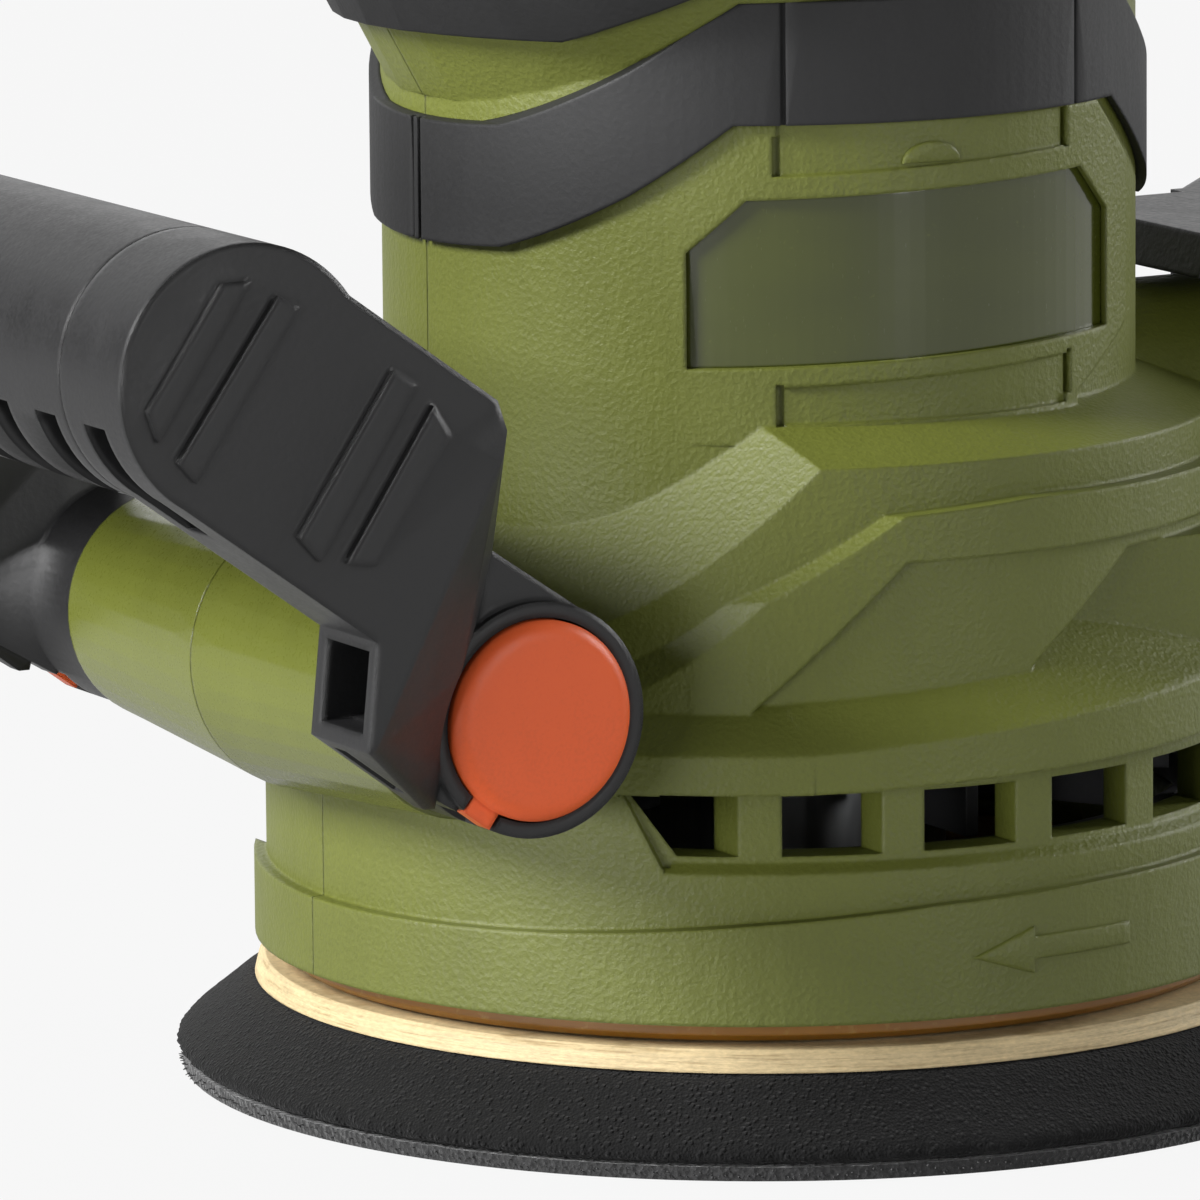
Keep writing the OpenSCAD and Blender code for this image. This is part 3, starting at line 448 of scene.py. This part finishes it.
def board_finish():
    p = Paint("circuit_board", Coat_Weight=0.4)
    across = p.axes()[1]
    track = p.remap(p.math("PINGPONG", across * 700, 0.5), 0.3, 0.34) * p.remap(p.noise(160, 0.0), 0.5, 0.52)
    pad = p.remap(p.cells(420), 0.26, 0.22)
    green = p.mix(track, (0.012, 0.075, 0.03), (0.03, 0.15, 0.06))
    return p.into(Base_Color=p.mix(pad, green, (0.6, 0.55, 0.45)), Roughness=0.45 - track * 0.1,
                  Normal=p.bump(track + pad, 0.00003))


def finishes():
    """Every material, made once, by the name the tables below use."""
    if "sander" not in MADE:
        c = colours()
        MADE["sander"] = {
            "housing": housing_finish(),
            "badge": badge_finish(),
            "black": moulded("black_plastic", c.black, 0.46, 2300, 0.000022, sizes().arm_edge, 0.3, 0.22),
            "case_black": moulded("case_plastic", c.black, 0.5, 1700, 0.00005, 0.0007, 0.34, 0.3),
            "rubber": moulded("soft_rubber", c.rubber, 0.62, 2300, 0.00003, 0.0005, 0.24, 0.3),
            "orange": moulded("orange_plastic", c.orange, 0.42, 2600, 0.000012, 0.0009, 0.1, 0.12),
            "grey": moulded("grey_plastic", (0.045, 0.045, 0.048), 0.45, 2000, 0.00002, 0.0003, 0.2, 0.3),
            "foam": foam_finish(),
            "hook": hook_finish(),
            "laminate": laminate_finish(),
            "amber": amber_finish(),
            "paper": paper_finish(),
            "board": board_finish(),
            "zinc": metal("zinc_steel", (0.55, 0.56, 0.57), 0.34),
            "ground": metal("ground_steel", (0.66, 0.66, 0.67), 0.18, (300, 300, 3000)),
            "cast": metal("cast_alloy", (0.6, 0.61, 0.62), 0.45, (700, 700, 700), 0.00002),
            "brass": metal("pressed_brass", (0.72, 0.52, 0.2), 0.32),
            "copper": metal("turned_copper", (0.72, 0.36, 0.2), 0.28, (60, 60, 3000)),
            "carbon": moulded("carbon", (0.02, 0.02, 0.021), 0.55, 3000, 0.00002, 0.0002, 0.4, 0.4),
            "sheets": layered("stacked_sheets", (0.3, 0.3, 0.31), (0.05, 0.05, 0.05), 0.9, 0.42, 0.0008),
            "wire": layered("enamelled_wire", (0.5, 0.17, 0.06), (0.08, 0.02, 0.01), 0.5, 0.35, 0.0006),
        }
    return MADE["sander"]


# the finishes made so far, and the finish each CAD node wears
MADE = {}
FINISH_OF_NODE = {
    "near_housing_half": "housing", "far_housing_half": "housing",
    "rubber_band": "rubber", "top_grip": "rubber",
    "badge_panel": "badge", "housing_screws": "zinc", "cord_gland": "case_black", "pad_brake_ring": "amber",
    "dust_shroud": "grey", "bearing_plate": "cast", "bearing_plate_screws": "zinc", "field_core": "sheets",
    "field_windings": "wire", "brush_holders": "brass", "carbon_brushes": "carbon", "brush_springs": "zinc",
    "upper_bearing_outer": "ground", "upper_bearing_seat": "rubber", "lower_bearing_outer": "ground",
    "lock_rings": "grey", "switch_body": "grey", "control_board": "board", "motor_shaft": "ground",
    "armature_core": "sheets", "armature_windings": "wire", "commutator": "copper", "fan": "grey",
    "counterweight": "zinc", "upper_bearing_inner": "ground", "upper_bearing_balls": "ground",
    "lower_bearing_inner": "ground", "lower_bearing_balls": "ground", "pad_bearing_outer": "ground",
    "pad_spindle": "zinc", "pad_bearing_inner": "ground", "pad_bearing_balls": "ground",
    "backing_plate": "laminate", "foam_pad": "foam", "hook_face": "hook", "pad_screws": "zinc",
    "near_bail_arm": "black", "far_bail_arm": "black", "bail_bar": "black", "bail_screws": "zinc",
    "near_lock_button": "orange", "far_lock_button": "orange", "near_button_spring": "zinc",
    "far_button_spring": "zinc", "canister_body": "case_black", "canister_lid": "case_black",
    "canister_filter": "paper", "canister_seal": "rubber", "lid_hinge_pin": "zinc", "trigger": "black",
    "trigger_spring": "zinc", "lock_on_button": "black", "speed_dial": "grey",
}


# ---------- building tools ----------


def frame_point(joint):
    """A hinge's place in the frame."""
    return Vector(next(j for j in frame["joints"] if j["name"] == joint)["pos_m"])


def node_facts(node):
    """The body and the material slot a CAD node belongs to."""
    record = frame["record"]
    body = next(b for b, members in record["behaviour"]["bodies"].items() if node in members)
    slot = next(s["material_slot"] for s in record["subparts"] if s["node"] == node)
    return body, slot


def finish_node(node):
    mesh = NODES[node].data
    material = finishes()[FINISH_OF_NODE[node]]
    if not mesh.materials:
        mesh.materials.append(material)
    for i in range(len(mesh.materials)):
        mesh.materials[i] = material


def add_piece(name, bm, finish, body, smooth=True, sharp=32):
    """Turns a finished bmesh into a piece that rides on a body."""
    mesh = bpy.data.meshes.new(name)
    bmesh.ops.recalc_face_normals(bm, faces=bm.faces)
    bm.to_mesh(mesh)
    bm.free()
    mesh.polygons.foreach_set("use_smooth", [smooth] * len(mesh.polygons))
    if smooth:
        mesh.set_sharp_from_angle(angle=math.radians(sharp))
    mesh.materials.append(finishes()[finish])
    piece = bpy.data.objects.new(name, mesh)
    bpy.context.scene.collection.objects.link(piece)
    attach(piece, body)
    return piece


def skin_of(node, sharp=13, smooth=True):
    """A welded skin in the shape of a CAD node, smooth or faceted, shown in its place."""
    body, slot = node_facts(node)
    bm = bmesh.new()
    bm.from_mesh(NODES[node].data)
    bmesh.ops.remove_doubles(bm, verts=bm.verts, dist=WELD_GAP)
    bmesh.ops.dissolve_degenerate(bm, edges=bm.edges, dist=SLIVER)
    piece = add_piece(node + "_skin", bm, FINISH_OF_NODE[node], body, smooth=smooth, sharp=sharp)
    if smooth:
        even = piece.modifiers.new("even_normals", "WEIGHTED_NORMAL")
        even.keep_sharp = True
    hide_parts(node)
    return piece


def wrapped_plate(name, outline, radius, height, node, bevel=0.00015, pitch=0.002):
    """A low raised shape on the housing: an outline of degrees and heights in mm, bent round a radius."""
    body, slot = node_facts(node)
    bm = bmesh.new()
    corners = [bm.verts.new((math.radians(a) * radius, 0, z * MM)) for a, z in outline]
    face = bm.faces.new(corners)
    grown = bmesh.ops.extrude_face_region(bm, geom=[face])
    front = [g for g in grown["geom"] if isinstance(g, bmesh.types.BMVert)]
    bmesh.ops.translate(bm, vec=(0, -height - ROOT, 0), verts=front)
    top = [e for e in bm.edges if all(v.co.y < -0.0001 for v in e.verts)]
    bmesh.ops.bevel(bm, geom=top, offset=bevel, affect="EDGES", segments=2, profile=0.5, material=-1)
    low = min(v.co.x for v in bm.verts)
    high = max(v.co.x for v in bm.verts)
    for i in range(1, int((high - low) / pitch) + 1):
        everything = bm.verts[:] + bm.edges[:] + bm.faces[:]
        bmesh.ops.bisect_plane(bm, geom=everything, plane_co=(low + i * pitch, 0, 0), plane_no=(1, 0, 0))
    for v in bm.verts:
        angle, out = v.co.x / radius, radius - ROOT - v.co.y
        v.co = (out * math.sin(angle), -out * math.cos(angle), v.co.z)
    return add_piece(name, bm, FINISH_OF_NODE[node], body)


# ---------- operators ----------


class SANDER_OT_housing(bpy.types.Operator):
    """Builds the two moulded housing halves"""

    bl_idname = "sander.housing"
    bl_label = "Housing halves"

    def execute(self, context):
        for node in ("near_housing_half", "far_housing_half"):
            skin_of(node, smooth=False)
        return {"FINISHED"}


class SANDER_OT_marks(bpy.types.Operator):
    """Adds the raised direction arrow and the small half-round mark"""

    bl_idname = "sander.marks"
    bl_label = "Raised marks"

    def execute(self, context):
        relief = sizes().relief
        arrow = [
            (-6.7, 19.8), (0.75, 17.6), (0.75, 19.05),
            (14, 19.1), (14, 21.4), (0.75, 21.35), (0.75, 22.4),
        ]
        wrapped_plate("direction_arrow", arrow, BASE_RADIUS, relief, "near_housing_half")
        middle, half_width, foot, rise = -8.5 + 4.65, 4.65, 97.9, 2.1
        turns = [t * math.pi / 12 for t in range(13)]
        half_round = [(middle - half_width * math.cos(t), foot + rise * math.sin(t)) for t in turns]
        wrapped_plate("half_round_mark", half_round, COLUMN_RADIUS, relief, "near_housing_half", 0.0001)
        return {"FINISHED"}


class SANDER_OT_grips(bpy.types.Operator):
    """Builds the rubber band and the soft top grip"""

    bl_idname = "sander.grips"
    bl_label = "Band and grip"

    def execute(self, context):
        for node in ("rubber_band", "top_grip"):
            skin_of(node, 30)
        return {"FINISHED"}


class SANDER_OT_badge(bpy.types.Operator):
    """Polishes the bare badge panels"""

    bl_idname = "sander.badge"
    bl_label = "Badge panels"

    def execute(self, context):
        skin_of("badge_panel")
        return {"FINISHED"}


class SANDER_OT_bail(bpy.types.Operator):
    """Builds the bail's arms and its bar"""

    bl_idname = "sander.bail"
    bl_label = "Bail handle"

    def execute(self, context):
        for node in ("near_bail_arm", "far_bail_arm", "bail_bar"):
            skin_of(node)
        return {"FINISHED"}


class SANDER_OT_controls(bpy.types.Operator):
    """Builds the lock buttons, the trigger, the lock-on button and the dial"""

    bl_idname = "sander.controls"
    bl_label = "Buttons, trigger and dial"

    def execute(self, context):
        for node in ("near_lock_button", "far_lock_button", "trigger", "lock_on_button", "speed_dial"):
            skin_of(node, 20)
        self.spring("near_button_spring", "near_button_press", 1, 1, 0.003)
        self.spring("far_button_spring", "far_button_press", 1, -1, 0.003)
        self.spring("trigger_spring", "trigger_squeeze", 2, 1, 0.004)
        return {"FINISHED"}

    def spring(self, node, joint, axis, way, travel):
        """A return spring's skin, given a mesh of its own."""
        piece = skin_of(node, 40)
        low, high = (Vector(corner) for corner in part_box(node))
        anchor = (low + high) / 2
        anchor[axis] = high[axis] if way > 0 else low[axis]
        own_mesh(piece)


class SANDER_OT_canister(bpy.types.Operator):
    """Builds the dust canister and its door"""

    bl_idname = "sander.canister"
    bl_label = "Dust canister"

    def execute(self, context):
        for node in ("canister_body", "canister_lid", "cord_gland"):
            skin_of(node)
        return {"FINISHED"}


class SANDER_OT_pad(bpy.types.Operator):
    """Builds the foam pad, its backing plate and the hook tufts"""

    bl_idname = "sander.pad"
    bl_label = "Pad"

    def execute(self, context):
        self.foam()
        self.tufts()
        skin_of("hook_face")
        skin_of("backing_plate")
        skin_of("pad_brake_ring")
        return {"FINISHED"}

    def foam(self):
        body, slot = node_facts("foam_pad")
        bm = bmesh.new()
        bm.from_mesh(NODES["foam_pad"].data)
        bmesh.ops.remove_doubles(bm, verts=bm.verts, dist=WELD_GAP)
        piece = add_piece("foam_pad_piece", bm, "foam", body)
        grid = piece.modifiers.new("grid", "REMESH")
        grid.mode = "VOXEL"
        grid.voxel_size = sizes().voxel
        grid.use_smooth_shade = True
        soften = piece.modifiers.new("soften", "SMOOTH")
        soften.iterations = 2
        settle(piece)
        random.seed(7)
        rough = [random.uniform(-CRUMB, CRUMB) for _ in piece.data.vertices]
        low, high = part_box("foam_pad")
        for v, amount in zip(piece.data.vertices, rough):
            v.co += v.normal * amount
            v.co.z = min(max(v.co.z, low[2] + HAIR), high[2] - HAIR)
        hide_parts("foam_pad")

    def tufts(self):
        body, slot = node_facts("hook_face")
        low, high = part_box("hook_face")
        centre = Vector(((low[0] + high[0]) / 2, 0, 0))
        radius = (high[0] - low[0]) / 2
        bm = bmesh.new()
        rng = random.Random(11)
        for i in range(sizes().tufts):
            angle = 2 * math.pi * (i + rng.uniform(-0.4, 0.4)) / sizes().tufts
            made = bmesh.ops.create_cone(bm, cap_ends=True, segments=4, radius1=0.00016, radius2=0.00004,
                                         depth=rng.uniform(0.0007, 0.0013))
            rim = Matrix.Translation((radius - 0.0001, 0, rng.uniform(0.0003, 0.0011)))
            lean = Matrix.Rotation(angle, 4, "Z") @ rim
            lean = lean @ Matrix.Rotation(math.radians(rng.uniform(60, 118)), 4, "Y")
            bmesh.ops.transform(bm, matrix=Matrix.Translation(centre) @ lean, verts=made["verts"])
        for v in bm.verts:
            v.co.z = max(v.co.z, HAIR)
        add_piece("hook_tufts", bm, "hook", body)


def settle(piece):
    """Applies a piece's modifiers."""
    shown = piece.evaluated_get(bpy.context.evaluated_depsgraph_get())
    mesh = bpy.data.meshes.new_from_object(shown)
    piece.modifiers.clear()
    piece.data = mesh
    mesh.polygons.foreach_set("use_smooth", [True] * len(mesh.polygons))


class SANDER_OT_works(bpy.types.Operator):
    """Finishes the motor, bearings, screws, springs and the other inner parts"""

    bl_idname = "sander.works"
    bl_label = "Motor and inner parts"

    def execute(self, context):
        missing = set(NODES) - set(FINISH_OF_NODE)
        if missing:
            raise RuntimeError(f"no finish for {sorted(missing)}")
        for node in FINISH_OF_NODE:
            finish_node(node)
        return {"FINISHED"}


class SANDER_OT_stage(bpy.types.Operator):
    """Sets the floor, the lights and the camera"""

    bl_idname = "sander.stage"
    bl_label = "Stage"

    def execute(self, context):
        scene = context.scene
        scene.view_settings.view_transform = "Standard"
        self.floor()
        self.world(scene)
        self.lamp("key", (-1.2, 0.1, 0.8), 0.5, 0.5, 38.0)
        self.lamp("left_low", (-1.3, -0.35, 0.06), 1.2, 0.35, 10.0)
        self.lamp("front", (0.3, -1.5, 0.3), 0.2, 0.9, 10.0)
        self.lamp("right", (1.35, -0.1, 0.5), 0.5, 0.5, 14.0)
        self.lamp("back", (0.5, 1.7, 0.7), 2.0, 1.0, 1.5)
        self.camera(scene)
        return {"FINISHED"}

    def floor(self):
        bm = bmesh.new()
        bmesh.ops.create_grid(bm, x_segments=1, y_segments=1, size=6)
        mesh = bpy.data.meshes.new("floor")
        bm.to_mesh(mesh)
        bm.free()
        p = Paint("floor_white", Base_Color=(0.22, 0.22, 0.22, 1), Roughness=0.9)
        glow = p.node("Emission", None, {"Color": (1.0, 1.0, 1.0), "Strength": 1.0})
        camera = p.node("LightPath", output=CAMERA_RAY)
        glossy = p.node("LightPath", output=GLOSSY_RAY)
        seen = p.math("MAXIMUM", camera * 0.9, glossy * 0.5)
        blend = p.node("MixShader", None, {0: seen, 1: Socket(p, p.shader.outputs[0]), 2: glow})
        out = next(n for n in p.tree.nodes if n.type == "OUTPUT_MATERIAL")
        p.tree.links.new(blend.output, out.inputs["Surface"])
        mesh.materials.append(p.material)
        floor = bpy.data.objects.new("floor", mesh)
        bpy.context.scene.collection.objects.link(floor)

    def world(self, scene):
        world = bpy.data.worlds.new("studio")
        world.use_nodes = True
        scene.world = world
        tree = world.node_tree
        background = next(n for n in tree.nodes if n.type == "BACKGROUND")
        background.inputs["Color"].default_value = (1, 1, 1, 1)
        path = tree.nodes.new("ShaderNodeLightPath")
        lit = tree.nodes.new("ShaderNodeMix")
        lit.inputs[FLOAT_FIRST].default_value, lit.inputs[FLOAT_SECOND].default_value = 0.08, 1.0
        tree.links.new(path.outputs["Is Camera Ray"], lit.inputs[0])
        tree.links.new(lit.outputs[0], background.inputs["Strength"])

    def lamp(self, name, place, width, height, radiance):
        """An area light of a given width, height and brightness, which the camera doesn't see."""
        light = bpy.data.lights.new(name, "AREA")
        light.shape, light.size, light.size_y = "RECTANGLE", width, height
        light.energy = math.pi * width * height * radiance
        lamp = bpy.data.objects.new(name, light)
        lamp.visible_camera = False
        lamp.location = place
        lamp.rotation_euler = (LIT_POINT - Vector(place)).to_track_quat("-Z", "Y").to_euler()
        bpy.context.scene.collection.objects.link(lamp)

    def camera(self, scene):
        s = scene.sander_stage
        data = bpy.data.cameras.new("camera")
        data.sensor_width, data.lens, data.clip_start, data.clip_end = 36.0, s.lens, 0.05, 20
        camera = bpy.data.objects.new("camera", data)
        a = s.azimuth
        ahead = Matrix.Rotation(s.yaw, 3, "Z") @ Vector((-math.sin(a), math.cos(a), 0))
        sight = ahead * math.cos(s.pitch) - Vector((0, 0, math.sin(s.pitch)))
        right = sight.cross(Vector((0, 0, 1))).normalized()
        up = right.cross(sight)
        turn = Matrix.Rotation(s.roll, 3, sight)
        right, up = turn @ right, turn @ up
        axes = Matrix((right, up, -sight)).transposed().to_4x4()
        stand = (math.sin(a) * s.distance, -math.cos(a) * s.distance, s.height)
        camera.matrix_world = Matrix.Translation(stand) @ axes
        scene.collection.objects.link(camera)
        scene.camera = camera


STEPS = (
    SANDER_OT_works, SANDER_OT_housing, SANDER_OT_marks, SANDER_OT_grips, SANDER_OT_badge,
    SANDER_OT_bail, SANDER_OT_controls, SANDER_OT_canister, SANDER_OT_pad, SANDER_OT_stage,
)


class SANDER_PT_panel(bpy.types.Panel):
    """Lists the sander's pieces and settings"""

    bl_idname = "SANDER_PT_panel"
    bl_label = "Sander"
    bl_space_type = "VIEW_3D"
    bl_region_type = "UI"
    bl_category = "Sander"

    def draw(self, context):
        for group in (context.scene.sander_colours, context.scene.sander_sizes, context.scene.sander_stage):
            column = self.layout.column()
            for key in group.__annotations__:
                column.prop(group, key)
        for step in STEPS:
            self.layout.operator(step.bl_idname)


GROUPS = {"sander_colours": SanderColours, "sander_sizes": SanderSizes, "sander_stage": SanderStage}


def register():
    for group in GROUPS.values():
        bpy.utils.register_class(group)
    for step in STEPS + (SANDER_PT_panel,):
        bpy.utils.register_class(step)
    for name, group in GROUPS.items():
        setattr(bpy.types.Scene, name, PointerProperty(type=group))


def unregister():
    for name in GROUPS:
        delattr(bpy.types.Scene, name)
    for item in (*STEPS, SANDER_PT_panel, *GROUPS.values()):
        bpy.utils.unregister_class(item)


def main():
    register()
    for step in STEPS:
        area, name = step.bl_idname.split(".")
        getattr(getattr(bpy.ops, area), name)()


if __name__ == "__main__":
    main()
